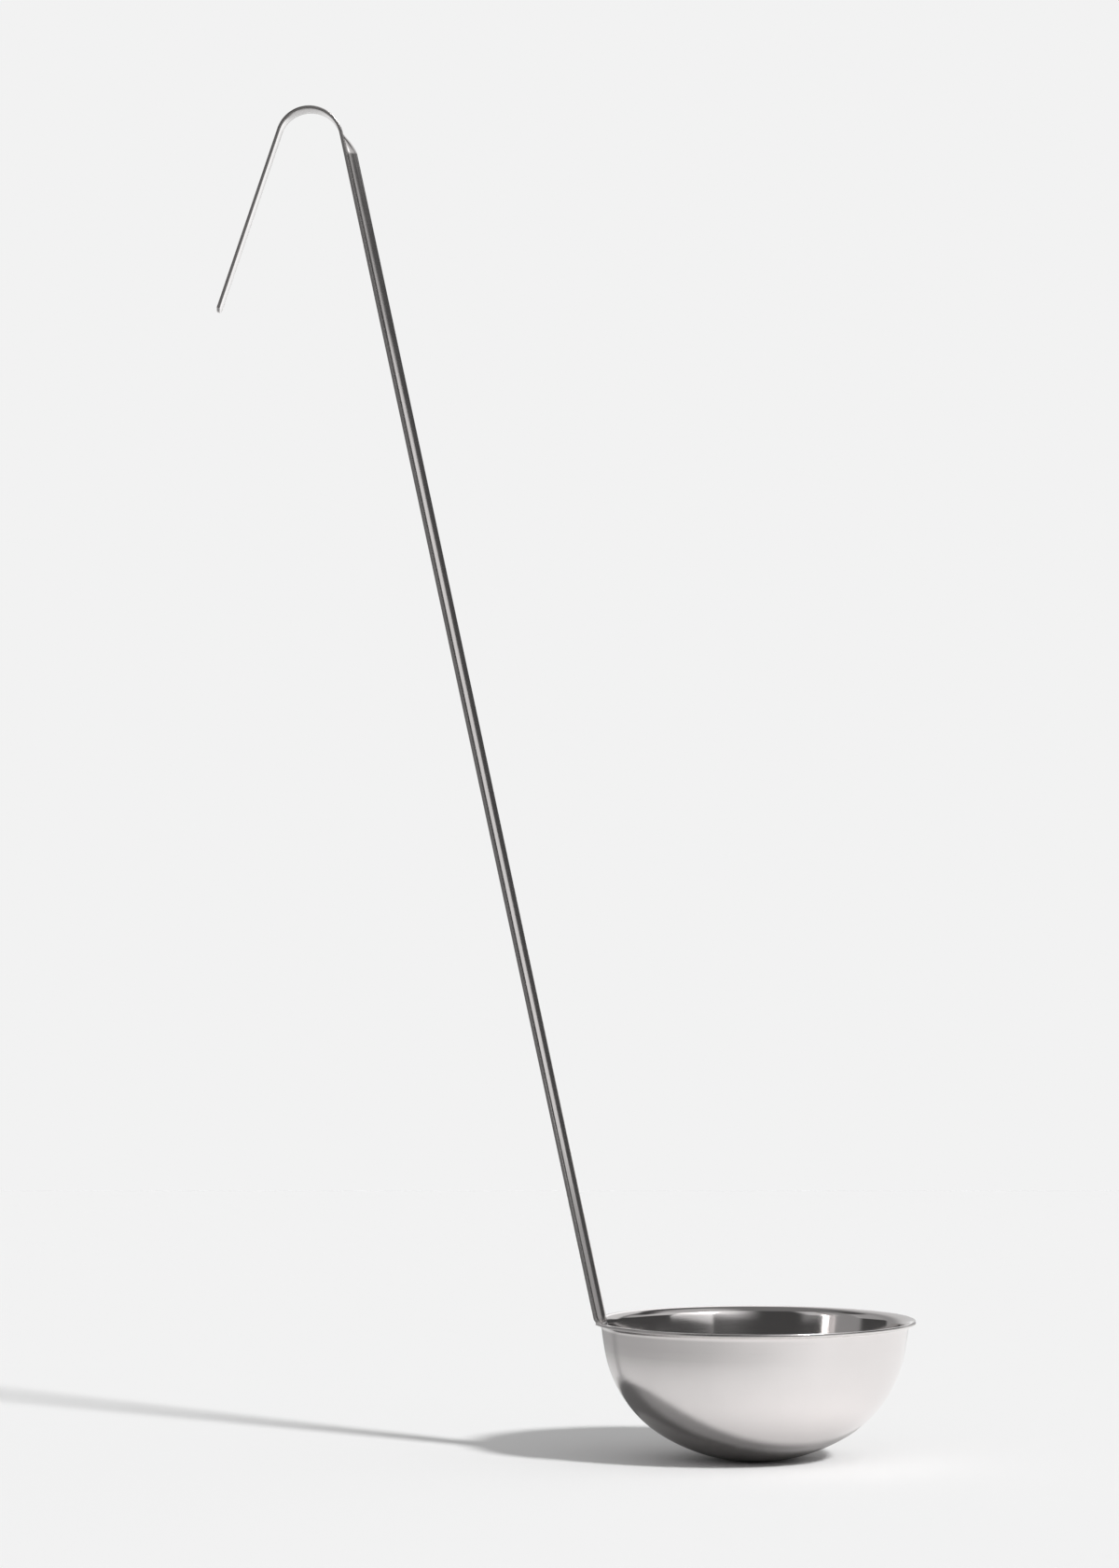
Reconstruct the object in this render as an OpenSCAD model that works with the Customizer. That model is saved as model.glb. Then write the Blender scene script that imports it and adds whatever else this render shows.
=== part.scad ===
// Soup ladle in pressed stainless sheet: a round bowl with a turned-out lip, a ribbed strip handle that ends in
// a hanging hook, and the weld that joins the handle's foot into a gap cut in the lip.
// The origin is the centre of the small flat under the bowl. +Z is up and the handle leans towards -X.

/* [Sheet] */
// Thickness of the sheet steel
sheet_t = 1; // [0.8:0.1:1.4]

/* [Bowl] */
// Outer diameter of the lip
lip_d = 100; // [90:1:120]
// Height of the lip's top above the base
rim_h = 43.5; // [41:0.5:50]
// Flat width left at the lip's edge
lip_flat = 0.3; // [0.2:0.1:3]
// Radius under the lip, where the wall turns outwards
lip_fillet_r = 2; // [1.5:0.25:3]
// Lean of the wall from upright, just under the lip, in degrees
wall_draft = 8.9; // [5:0.1:12]
// Length of the wall's straight stretch, from the radius under the lip to the curved side
wall_l = 6.4; // [5.6:0.2:9]
// Lean from upright where the side's curve passes into the bottom's, in degrees
knee_lean = 58.9; // [50:0.1:65]
// Depth of the flat pressed into the base
base_press = 0.38; // [0.2:0.02:0.6]

/* [Handle strip] */
// Width of the strip
strip_w = 14; // [12:0.5:20]
// Length of the straight strip, from the lip's edge to the start of the hook
strip_l = 376.5; // [250:0.5:420]
// Lean of the handle from upright, in degrees
handle_lean = 12.1; // [6:0.1:20]
// Outer radius of the bend in the strip's foot
foot_bend_r = 4; // [3:0.25:6]
// Depth of the foot below the lip's top, down to the weld
foot_depth = 4.7; // [4.2:0.1:8]

/* [Rib] */
// Height of the rib above the strip
rib_h = 3; // [2:0.1:3.4]
// Outer radius of the rib's crest
rib_r = 4; // [3.5:0.1:5]
// Radius where the rib's flank meets the strip
rib_root_r = 1; // [0.5:0.1:1.4]
// Length of the ramp at the rib's upper end
rib_top_ramp = 7; // [4:0.5:15]
// Length of the ramp at the rib's lower end
rib_foot_ramp = 4; // [3:0.25:6]

/* [Hook] */
// Inner radius of the hook's bend
hook_r = 9.5; // [6:0.5:15]
// Length of the hook's straight leg
hook_leg_l = 59.5; // [30:0.5:80]
// Lean of the hook's leg from upright, in degrees
hook_leg_lean = 18.7; // [5:0.1:40]
// Rise of the rounded tip's middle over its corners
hook_tip_rise = 1; // [1:0.5:5]

/* [Weld] */
// Width of the weld around the handle's foot
weld_w = 0.8; // [0.5:0.1:1.5]

/* [Hidden] */
$fn = 96;

// Turn of one facet on the bowl's wide curves and on the hook's outside, in degrees
curve_step = 2.5;
hook_step = 7.5;
// Facets along the small bends, the rib's section and its ramps
bend_steps = 8;
root_steps = 4;
rib_steps = 12;
ramp_steps = 8;
// Power of the rib's ramps: they rise steeply and round off into the full height
ramp_power = 1.5;
// Share of the rib's width that is left at the very end of a ramp
ramp_nose = 0.35;
// How far cutting shapes run past what they cut
cut_over = 5;
// Metal left inside the hook's bend, for its true round to cut away
hook_skim = 0.02;

lip_r = lip_d / 2;

// Bowl's section in radius and height
// Its outer face turns under the lip, runs down the wall, and curves over the side and the bottom to the base
function facing(lean) = [cos(lean), -sin(lean)];
wall_out = facing(wall_draft);
knee_out = facing(knee_lean);
lip_fillet_c = [lip_r - lip_flat, rim_h - sheet_t - lip_fillet_r];
wall_top = lip_fillet_c - lip_fillet_r * wall_out;
wall_end = wall_top - wall_l * [sin(wall_draft), cos(wall_draft)];

// The side's and the bottom's radii are those at which the two arcs meet at a tangent on the knee, the side
// starts at the wall's end, and the bottom's centre lies on the bowl's axis
side_share = wall_out - knee_out;
bottom_share = knee_out + [0, 1];
arcs_span = wall_end + [0, base_press];
side_r = cross(arcs_span, bottom_share) / cross(side_share, bottom_share);
bottom_r = cross(side_share, arcs_span) / cross(side_share, bottom_share);
side_c = wall_end - side_r * wall_out;
bottom_c = [0, bottom_r - base_press];

// Handle's own frame: u runs from the strip's outer face towards the bowl, v runs up the strip, and both
// are zero where the outer face passes the lip's top edge
function in_handle(p) = [
    (lip_r - p[0]) * cos(handle_lean) + (p[1] - rim_h) * sin(handle_lean),
    (p[0] - lip_r) * sin(handle_lean) + (p[1] - rim_h) * cos(handle_lean)
];

// The foot's two bends: the upper one turns the strip in over the rim, the lower one is the lip's own fillet
lower_c = in_handle(lip_fillet_c);
upper_v = lower_c[1] + sqrt(pow(foot_bend_r + lip_fillet_r, 2) - pow(foot_bend_r - lower_c[0], 2));
upper_c = [foot_bend_r, upper_v];
bends_meet = (lower_c - upper_c) / (foot_bend_r + lip_fillet_r);
wall_lean = handle_lean - wall_draft;

// Heights up the strip where a face of the sheet passes from one stretch of the foot to the next. depth is
// zero on the outer face and the sheet's thickness on the inner one
function meet_v(depth) = upper_v + (foot_bend_r - depth) * bends_meet[1];
function wall_v(depth) = lower_c[1] - (lip_fillet_r + depth) * sin(wall_lean);

// Where a face of the sheet lies, at a height up the strip
function face_u(v, depth) =
    v >= upper_v ? depth
    : v >= meet_v(depth) ? foot_bend_r - sqrt(pow(foot_bend_r - depth, 2) - pow(v - upper_v, 2))
    : v >= wall_v(depth) ? lower_c[0] + sqrt(pow(lip_fillet_r + depth, 2) - pow(v - lower_c[1], 2))
    : lower_c[0] + (lip_fillet_r + depth) * cos(wall_lean) + (v - wall_v(depth)) * tan(wall_lean);

// The foot is curved across its width like the bowl where it meets the wall, and flat above its bends
function bow(v) =
    let (share = max(0, min(1, (upper_v - v) / (upper_v - wall_v(0)))))
    share * share * (3 - 2 * share);
function bow_u(y, v) = bow(v) * (wall_top[0] - sqrt(pow(wall_top[0], 2) - y * y));

// Rib's section: a round crest between two root fillets, as [across, rise] on a face of the sheet that lies
// some way behind the strip's inner face
rib_c = rib_h - rib_r;
rib_turn = acos((rib_root_r - rib_c) / (rib_r + rib_root_r));
rib_foot_y = (rib_r + rib_root_r) * sin(rib_turn);
function rib_root(behind, side) = [
    for (i = [0 : root_steps - 1])
        let (
            a = rib_turn * (side < 0 ? i : root_steps - 1 - i) / root_steps,
            r = rib_root_r + behind
        )
        [side * (rib_foot_y - r * sin(a)), r - r * cos(a)]
];
function rib_crest(behind) = [
    for (i = [0 : rib_steps])
        let (a = rib_turn * (2 * i / rib_steps - 1), r = rib_r - behind)
        [r * sin(a), rib_c + behind + r * cos(a)]
];

// Share of the rib's height at a height up the strip: it ramps out at both ends, and its crest runs straight
// on over the foot's bends until it dies into the bowl's wall
rib_foot_v = -foot_depth;
function ramp(share) = 1 - pow(1 - max(0, min(1, share)), ramp_power);
function rib_share(v) = max(0, min(
    ramp((strip_l - v) / rib_top_ramp),
    ramp((v - rib_foot_v) / rib_foot_ramp),
    (sheet_t + rib_h - face_u(v, sheet_t)) / rib_h
));

// One face of the ribbed strip at a height up it, from its near edge to its far edge
function face_row(v, depth) =
    let (
        share = rib_share(v),
        nose = ramp_nose + (1 - ramp_nose) * sqrt(share),
        behind = sheet_t - depth,
        rib = concat(rib_root(behind, -1), rib_crest(behind), rib_root(behind, 1)),
        row = concat([[-strip_w / 2, 0]], [for (p = rib) [nose * p[0], share * p[1]]], [[strip_w / 2, 0]])
    )
    [for (p = row) [face_u(v, depth) + p[1] + bow_u(p[0], v), p[0], v]];

// Points along an arc, and the steps that give about curve_step degrees between them
function arc(c, r, from, to, steps) = [
    for (i = [0 : steps]) let (a = from + (to - from) * i / steps) c + r * [cos(a), sin(a)]
];
function steps_for(from, to) = ceil(abs(to - from) / curve_step);

// One face of the bowl's sheet from the base's centre to the lip, depth being zero on the outer face
function bowl_face(depth) =
    let (
        flat = sqrt(pow(bottom_r - depth, 2) - pow(bottom_c[1] - depth, 2)),
        base = asin(flat / (bottom_r - depth)) - 90
    )
    concat(
        [[0, depth]],
        arc(bottom_c, bottom_r - depth, base, -knee_lean, steps_for(base, -knee_lean)),
        arc(side_c, side_r - depth, -knee_lean, -wall_draft, steps_for(-knee_lean, -wall_draft)),
        arc(lip_fillet_c, lip_fillet_r + depth, 180 - wall_draft, 90, bend_steps),
        [[lip_r, rim_h - sheet_t + depth]]
    );

function reversed(list) = [for (i = [len(list) - 1 : -1 : 0]) list[i]];

module bowl_section() {
    polygon(concat(bowl_face(0), reversed(bowl_face(sheet_t))));
}

// The gap in the lip that takes the foot, with a margin around it for the weld
module rim_gap(margin) {
    translate([-lip_r - cut_over, -strip_w / 2 - margin, rim_h - foot_depth - margin])
        cube([lip_r, strip_w + 2 * margin, foot_depth + margin + cut_over]);
}

// Closed solid between rows of points on two faces of a sheet
module sheet_solid(inner, outer) {
    rows = len(inner);
    n = len(inner[0]);
    function at(face, j, i) = (face * rows + j) * n + i;
    function quad(a, b, c, d) = [[a, b, c], [a, c, d]];
    skins = [
        for (j = [0 : rows - 2], i = [0 : n - 2]) each concat(
            quad(at(0, j, i), at(0, j + 1, i), at(0, j + 1, i + 1), at(0, j, i + 1)),
            quad(at(1, j, i), at(1, j, i + 1), at(1, j + 1, i + 1), at(1, j + 1, i))
        )
    ];
    edges = [
        for (j = [0 : rows - 2]) each concat(
            quad(at(0, j, 0), at(1, j, 0), at(1, j + 1, 0), at(0, j + 1, 0)),
            quad(at(0, j, n - 1), at(0, j + 1, n - 1), at(1, j + 1, n - 1), at(1, j, n - 1))
        )
    ];
    ends = [
        for (i = [0 : n - 2]) each concat(
            quad(at(0, 0, i), at(0, 0, i + 1), at(1, 0, i + 1), at(1, 0, i)),
            quad(at(0, rows - 1, i), at(1, rows - 1, i), at(1, rows - 1, i + 1), at(0, rows - 1, i + 1))
        )
    ];
    polyhedron(concat([for (r = inner) each r], [for (r = outer) each r]), concat(skins, edges, ends));
}

// Heights of the rows up the ribbed strip, close together where it bends or ramps
foot_end_v = -foot_depth - sheet_t - 1;
rib_top_v = strip_l - rib_top_ramp;
rib_low_v = max(upper_v, rib_foot_v + rib_foot_ramp);
strip_rows = concat(
    [foot_end_v],
    [for (i = [0 : 2 * bend_steps]) rib_foot_v + (rib_low_v - rib_foot_v) * i / (2 * bend_steps)],
    [for (i = [0 : ramp_steps]) rib_top_v + rib_top_ramp * (1 - pow(1 - i / ramp_steps, ramp_power))]
);

// Turn of the hook's bend, from the handle's lean over the top to the leg's
hook_turn = 180 - handle_lean - hook_leg_lean;
hook_steps = ceil(hook_turn / hook_step);

// Stations on along the hook, as [turn, way along the leg, how far the sheet is set out], to past the tip
hook_stations = concat(
    [for (i = [1 : hook_steps - 1]) [hook_turn * i / hook_steps, 0, -hook_skim]],
    [for (along = [0, hook_leg_l + sheet_t]) [hook_turn, along, hook_skim]]
);

// One face of the sheet across the hook, on the columns of the strip's last row
function hook_row(station, depth) =
    let (
        turn = station[0],
        along = station[1],
        out = hook_r + depth + (depth > 0 ? max(0, station[2]) : station[2])
    )
    [for (p = face_row(strip_l, depth)) [
        out * cos(turn) - along * sin(turn) - hook_r,
        p[1],
        strip_l + out * sin(turn) + along * cos(turn)
    ]];

function handle_face(depth) = concat(
    [for (v = strip_rows) face_row(v, depth)],
    [for (station = hook_stations) hook_row(station, depth)]
);

// Hook's true inner round and its rounded tip, as what they take from the sheet
module hook_cuts() {
    translate([-hook_r, 0, strip_l]) {
        rotate([90, 0, 0]) cylinder(r = hook_r, h = strip_w + cut_over, center = true);
        rotate([0, -hook_turn, 0]) hook_tip_cut();
    }
}

// What the rounded tip leaves of a square one, with X through the sheet and Z along the leg
module hook_tip_cut() {
    tip_r = (pow(strip_w / 2, 2) + pow(hook_tip_rise, 2)) / (2 * hook_tip_rise);
    translate([0, 0, hook_leg_l - tip_r]) difference() {
        translate([0, -strip_w, 0]) cube([2 * hook_r, 2 * strip_w, 2 * tip_r]);
        rotate([0, 90, 0]) cylinder(r = tip_r, h = 3 * hook_r);
    }
}

module bowl() {
    color("silver") difference() {
        rotate_extrude() bowl_section();
        rim_gap(weld_w);
    }
}

module handle() {
    color("gainsboro") difference() {
        translate([-lip_r, 0, rim_h]) rotate([0, -handle_lean, 0]) difference() {
            sheet_solid(handle_face(sheet_t), handle_face(0));
            hook_cuts();
        }
        translate([-lip_d, -strip_w, rim_h - foot_depth - lip_d])
            cube([lip_d, 2 * strip_w, lip_d]);
    }
}

module weld_seam() {
    color("darkgray") difference() {
        intersection() {
            rotate_extrude() bowl_section();
            rim_gap(weld_w);
        }
        rim_gap(0);
    }
}

bowl();
handle();
weld_seam();
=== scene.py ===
"""Soup ladle in pressed stainless sheet: its bowl, ribbed handle and weld, and the studio they stand in.

Lengths are in metres. The origin is the centre of the flat under the bowl, +Z is up, and the handle leans
to -X.
"""

import math

import bmesh
import bpy
from bpy.props import FloatProperty, FloatVectorProperty, PointerProperty
from mathutils import Matrix, Vector


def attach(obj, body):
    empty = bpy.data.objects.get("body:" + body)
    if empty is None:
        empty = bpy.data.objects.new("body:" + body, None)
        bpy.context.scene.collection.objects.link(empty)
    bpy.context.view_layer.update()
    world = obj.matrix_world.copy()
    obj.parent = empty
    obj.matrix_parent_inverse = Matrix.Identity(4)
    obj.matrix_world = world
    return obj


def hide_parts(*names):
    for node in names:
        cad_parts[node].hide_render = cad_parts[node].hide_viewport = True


bl_info = {
    "name": "Soup ladle",
    "version": (1, 0, 0),
    "blender": (4, 5, 0),
    "location": "3D Viewport > Sidebar > Ladle",
    "description": "Builds a pressed steel soup ladle and the studio it stands in",
    "category": "Object",
}

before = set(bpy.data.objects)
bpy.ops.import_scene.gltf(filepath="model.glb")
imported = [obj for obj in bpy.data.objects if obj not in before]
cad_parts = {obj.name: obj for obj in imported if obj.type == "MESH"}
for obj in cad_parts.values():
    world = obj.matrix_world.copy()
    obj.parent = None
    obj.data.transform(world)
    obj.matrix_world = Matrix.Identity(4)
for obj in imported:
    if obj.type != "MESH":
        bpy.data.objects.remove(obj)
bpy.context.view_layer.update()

# Steps of the modelled curves: around the bowl, along its section, around the hook, across the strip, up it
# and over its rounded edges
BOWL_STEPS = 240
SECTION_STEP = math.radians(2.0)
FILLET_STEPS = 12
HOOK_STEPS = 60
CREST_STEPS = 24
ROOT_STEPS = 8
FOOT_ROWS = 48
STRIP_ROWS = 12
RAMP_ROWS = 24
EDGE_STEPS = 3

# Points closer together than this are one point
SAME_POINT = 1e-7
# How far from the lip's edge, and how far from level, an edge of the mesh may lie and still be the lip's
LIP_SLACK = 1e-5
LEVEL_SLACK = 1e-6

# Width of the narrow row of faces that ends each flat beside a curve, which keeps the flat's shading flat
FLAT_END = 0.00015
# Length of the bowl's wall over which its shading starts to turn towards the lip
LIP_TURN = 0.0034

# Faces that meet at more than this angle keep a sharp edge in the shading
SHARP_ANGLE = math.radians(30)
# Edges of the strip at which its faces turn by more than this are rounded
FREE_EDGE_ANGLE = math.radians(60)
# Faces of the bowl whose normal rises by more than this belong to the lip's top
LIP_TOP_RISE = 0.5

# The rib's ramps rise steeply and round off into the full height, and start as a nose of this share of its
# width
RAMP_POWER = 1.5
RAMP_NOSE = 0.35

# Steel's finish: the size of its soft patches, how much its fine lines count beside them, the range of both
# together, and the share of its colour that the patches can bring it down to
PATCH_SIZE = 0.014
LINES_SHARE = 0.6
FINISH_RANGE = (0.4, 1.2)
DULL_SHARE = 0.94

# Camera's sensor width in millimetres, and how far it sees in metres
SENSOR_WIDTH = 36
SIGHT = 500

# Studio's room as the metal mirrors it: the level of its dark walls, and its lit areas as bearings from the
# front in degrees with the left positive, their softness, heights in degrees, their softness and what they
# add
DARK_ROOM = 0.06
LIT_AREAS = [
    # Pale backdrop behind the ladle, brightest at its foot, and its low end on the right
    ((126, 200), 2, (-100, 52), 9, 0.25),
    ((150, 200), 14, (-100, 52), 9, 0.3),
    ((-200, -166), 4, (-100, 52), 9, 0.55),
    ((170, 200), 3, (-3, 3.8), 0.8, 0.33),
    ((-200, -168), 3, (-3, 3.8), 0.8, 0.33),
    ((-168, -131), 4, (-10, 3), 1, 0.95),
    # Pale wall on the left, which starts higher at both ends, and a lamp above it
    ((57, 93.5), 3, (-100, 52), 9, 0.22),
    ((40, 57), 4, (13, 52), 1.5, 0.18),
    ((92, 126), 3, (12, 40), 1.5, 0.3),
    ((44, 72), 4, (17, 50), 3, 0.3),
    # Soft boxes along the right, higher towards the back, a low pale wall under them, and the camera's side
    ((-44, -6), 16, (15, 54), 0.9, 0.75),
    ((-64, -44), 6, (15, 18), 1, 0.28),
    ((-100, -50), 8, (25, 50), 2, 0.5),
    ((-128, -98), 8, (22, 34), 4, 0.38),
    ((-154, -134), 6, (16.5, 42), 2, 0.6),
    ((-186, -154), 6, (14, 42), 2, 0.6),
    ((-80, -48), 5, (2.5, 7), 0.8, 0.4),
    ((-25, 25), 10, (-10, 8.5), 1.5, 0.1),
    # Ceiling, and a soft lamp below it on the right
    ((-200, 200), 5, (54, 100), 10, 0.12),
    ((-125, -25), 15, (50, 76), 7, 0.3),
]
# Painted light and shade on the floor, as the metal mirrors it: shares of its colour around a place, from the
# share inside a reach to the share outside it, over a softness. A painted pool of light, a painted shadow of
# the bowl with a paler middle, and painted close shade under the bowl.
FLOOR_PAINTED_LIGHT = [
    ((0.2, 0.06, 0), 0.31, 0.13, (1.1, 0.335)),
    ((-0.022, 0.0305, 0), 0.0613, 0.0026, (0.347, 1.0)),
    ((-0.0054, 0.0228, 0), 0.0436, 0.0027, (1.72, 1.0)),
    ((0, 0, 0), 0.033, 0.018, (0.66, 1.0)),
]


def linear(code):
    """An sRGB hex colour as linear RGBA."""
    values = [int(code[i : i + 2], 16) / 255 for i in (1, 3, 5)]
    return [v / 12.92 if v <= 0.04045 else ((v + 0.055) / 1.055) ** 2.4 for v in values] + [1.0]


class LadleSizes(bpy.types.PropertyGroup):
    """The ladle's sizes, in metres and radians"""

    sheet: FloatProperty(
        name="Sheet", description="Thickness of the sheet steel", default=0.001, unit="LENGTH", precision=5
    )
    lip_diameter: FloatProperty(
        name="Lip diameter",
        description="Outer diameter of the bowl's lip",
        default=0.1,
        unit="LENGTH",
        precision=5,
    )
    rim_height: FloatProperty(
        name="Rim height", description="Height of the lip's top", default=0.0435, unit="LENGTH", precision=5
    )
    lip_flat: FloatProperty(
        name="Lip flat",
        description="Flat width at the lip's edge",
        default=0.0003,
        unit="LENGTH",
        precision=5,
    )
    lip_fillet: FloatProperty(
        name="Lip fillet", description="Radius under the lip", default=0.002, unit="LENGTH", precision=5
    )
    wall_draft: FloatProperty(
        name="Wall draft",
        description="Lean of the wall under the lip",
        default=math.radians(8.9),
        subtype="ANGLE",
    )
    wall_length: FloatProperty(
        name="Wall length",
        description="Length of the straight wall",
        default=0.0064,
        unit="LENGTH",
        precision=5,
    )
    knee_lean: FloatProperty(
        name="Knee lean",
        description="Lean where the side's curve passes into the bottom's",
        default=math.radians(58.9),
        subtype="ANGLE",
    )
    base_press: FloatProperty(
        name="Base press",
        description="Depth of the flat in the base",
        default=0.00038,
        unit="LENGTH",
        precision=5,
    )
    strip_width: FloatProperty(
        name="Strip width",
        description="Width of the handle's strip",
        default=0.014,
        unit="LENGTH",
        precision=5,
    )
    strip_length: FloatProperty(
        name="Strip length",
        description="Lip's edge to the hook's bend",
        default=0.3765,
        unit="LENGTH",
        precision=5,
    )
    handle_lean: FloatProperty(
        name="Handle lean", description="Lean of the handle", default=math.radians(12.1), subtype="ANGLE"
    )
    foot_bend: FloatProperty(
        name="Foot bend",
        description="Outer radius of the foot's bend",
        default=0.004,
        unit="LENGTH",
        precision=5,
    )
    foot_depth: FloatProperty(
        name="Foot depth",
        description="Depth of the foot under the rim",
        default=0.0047,
        unit="LENGTH",
        precision=5,
    )
    rib_height: FloatProperty(
        name="Rib height", description="Height of the handle's rib", default=0.003, unit="LENGTH", precision=5
    )
    rib_radius: FloatProperty(
        name="Rib radius",
        description="Outer radius of the rib's crest",
        default=0.004,
        unit="LENGTH",
        precision=5,
    )
    rib_root: FloatProperty(
        name="Rib root",
        description="Radius at the foot of the rib",
        default=0.001,
        unit="LENGTH",
        precision=5,
    )
    rib_top_ramp: FloatProperty(
        name="Rib's upper ramp",
        description="Length of the rib's upper end",
        default=0.007,
        unit="LENGTH",
        precision=5,
    )
    rib_foot_ramp: FloatProperty(
        name="Rib's lower ramp",
        description="Length of the rib's lower end",
        default=0.004,
        unit="LENGTH",
        precision=5,
    )
    hook_radius: FloatProperty(
        name="Hook radius", description="Inner radius of the hook", default=0.0095, unit="LENGTH", precision=5
    )
    hook_leg: FloatProperty(
        name="Hook leg",
        description="Length of the hook's straight leg",
        default=0.0595,
        unit="LENGTH",
        precision=5,
    )
    hook_leg_lean: FloatProperty(
        name="Hook leg lean",
        description="Lean of the hook's leg",
        default=math.radians(18.7),
        subtype="ANGLE",
    )
    hook_tip_rise: FloatProperty(
        name="Hook tip rise", description="Rise of the rounded tip", default=0.001, unit="LENGTH", precision=5
    )
    weld_width: FloatProperty(
        name="Weld width", description="Width of the dressed weld", default=0.0008, unit="LENGTH", precision=5
    )
    edge_round: FloatProperty(
        name="Edge round",
        description="Rounding of the sheet's free edges",
        default=0.00018,
        unit="LENGTH",
        precision=5,
    )


class LadleFinish(bpy.types.PropertyGroup):
    """The colour of the ladle's steel and the roughness of its faces"""

    steel: FloatVectorProperty(
        name="Steel",
        description="Colour of the steel",
        default=linear("#EAE6E5")[:3],
        size=3,
        subtype="COLOR",
    )
    satin_roughness: FloatProperty(
        name="Satin roughness", description="Roughness of the bowl's outside", default=0.2, subtype="FACTOR"
    )
    polish_roughness: FloatProperty(
        name="Polish roughness", description="Roughness of the bowl's inside", default=0.1, subtype="FACTOR"
    )
    handle_roughness: FloatProperty(
        name="Handle roughness", description="Roughness of the handle's sheet", default=0.18, subtype="FACTOR"
    )
    weld_roughness: FloatProperty(
        name="Weld roughness", description="Roughness of the dressed weld", default=0.24, subtype="FACTOR"
    )


class StudioSetup(bpy.types.PropertyGroup):
    """The studio's camera, backdrop, floor and lamps"""

    camera_place: FloatVectorProperty(
        name="Camera place",
        description="Where the camera stands, level and looking along +Y",
        default=(-0.0607, -1.818, 0.21),
        size=3,
        subtype="XYZ",
        unit="LENGTH",
    )
    lens: FloatProperty(name="Lens", description="Focal length in millimetres", default=134.3)
    backdrop: FloatVectorProperty(
        name="Backdrop",
        description="Colour of the backdrop",
        default=linear("#F2F2F2")[:3],
        size=3,
        subtype="COLOR",
    )
    floor: FloatVectorProperty(
        name="Floor",
        description="Colour of the floor",
        default=linear("#EDEDED")[:3],
        size=3,
        subtype="COLOR",
    )
    key_strength: FloatProperty(name="Key strength", description="Strength of the key lamp", default=3.03)
    key_bearing: FloatProperty(
        name="Key bearing",
        description="Turn of the key lamp from +X towards the camera",
        default=math.radians(48.5),
        subtype="ANGLE",
    )
    key_height: FloatProperty(
        name="Key height", description="Height of the key lamp", default=math.radians(36), subtype="ANGLE"
    )
    key_spread: FloatProperty(
        name="Key spread",
        description="Angle over which the key lamp spreads",
        default=math.radians(7),
        subtype="ANGLE",
    )
    floor_front: FloatProperty(
        name="Floor's front",
        description="How far the floor runs in front of the bowl",
        default=0.27,
        unit="LENGTH",
    )
    floor_back: FloatProperty(
        name="Floor's back", description="How far the floor runs behind the bowl", default=1.2, unit="LENGTH"
    )
    floor_width: FloatProperty(
        name="Floor's width",
        description="Width of the floor",
        default=5,
        unit="LENGTH",
    )
    screen_place: FloatVectorProperty(
        name="Screen place",
        description="Where the soft screen lamp stands",
        default=(0.34, -0.265, 0.3155),
        size=3,
        subtype="XYZ",
        unit="LENGTH",
    )
    screen_size: FloatVectorProperty(
        name="Screen size",
        description="Width and height of the screen lamp",
        default=(0.3, 0.339),
        size=2,
        unit="LENGTH",
    )
    screen_level: FloatProperty(
        name="Screen level",
        description="Brightness of the screen lamp",
        default=0.58,
    )
    fill: FloatProperty(name="Fill", description="Level of the soft light from all around", default=0.482)


class BowlSection:
    """Outer face of the bowl's sheet in radius and height, as the arcs and the wall that it is made of."""

    def __init__(self, sizes):
        draft, knee = sizes.wall_draft, sizes.knee_lean
        wall_out = Vector((math.cos(draft), -math.sin(draft)))
        knee_out = Vector((math.cos(knee), -math.sin(knee)))
        self.lip_radius = sizes.lip_diameter / 2
        self.lip_under = sizes.rim_height - sizes.sheet
        self.fillet_centre = Vector((self.lip_radius - sizes.lip_flat, self.lip_under - sizes.lip_fillet))
        self.wall_top = self.fillet_centre - sizes.lip_fillet * wall_out
        wall_end = self.wall_top - sizes.wall_length * Vector((math.sin(draft), math.cos(draft)))
        # The side's and the bottom's arcs meet at a tangent on the knee, and the bottom's centre is on the
        # axis
        side_share = wall_out - knee_out
        bottom_share = knee_out + Vector((0, 1))
        span = wall_end + Vector((0, sizes.base_press))
        side_radius = span.cross(bottom_share) / side_share.cross(bottom_share)
        bottom_radius = side_share.cross(span) / side_share.cross(bottom_share)
        self.side_centre = wall_end - side_radius * wall_out
        self.bottom_centre = Vector((0, bottom_radius - sizes.base_press))
        self.flat_radius = math.sqrt(bottom_radius**2 - self.bottom_centre.y**2)
        self.bottom_turn = math.pi / 2 - math.asin(self.flat_radius / bottom_radius) - knee
        self.side_turn = knee - draft
        self.fillet_turn = draft - math.pi / 2


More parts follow.
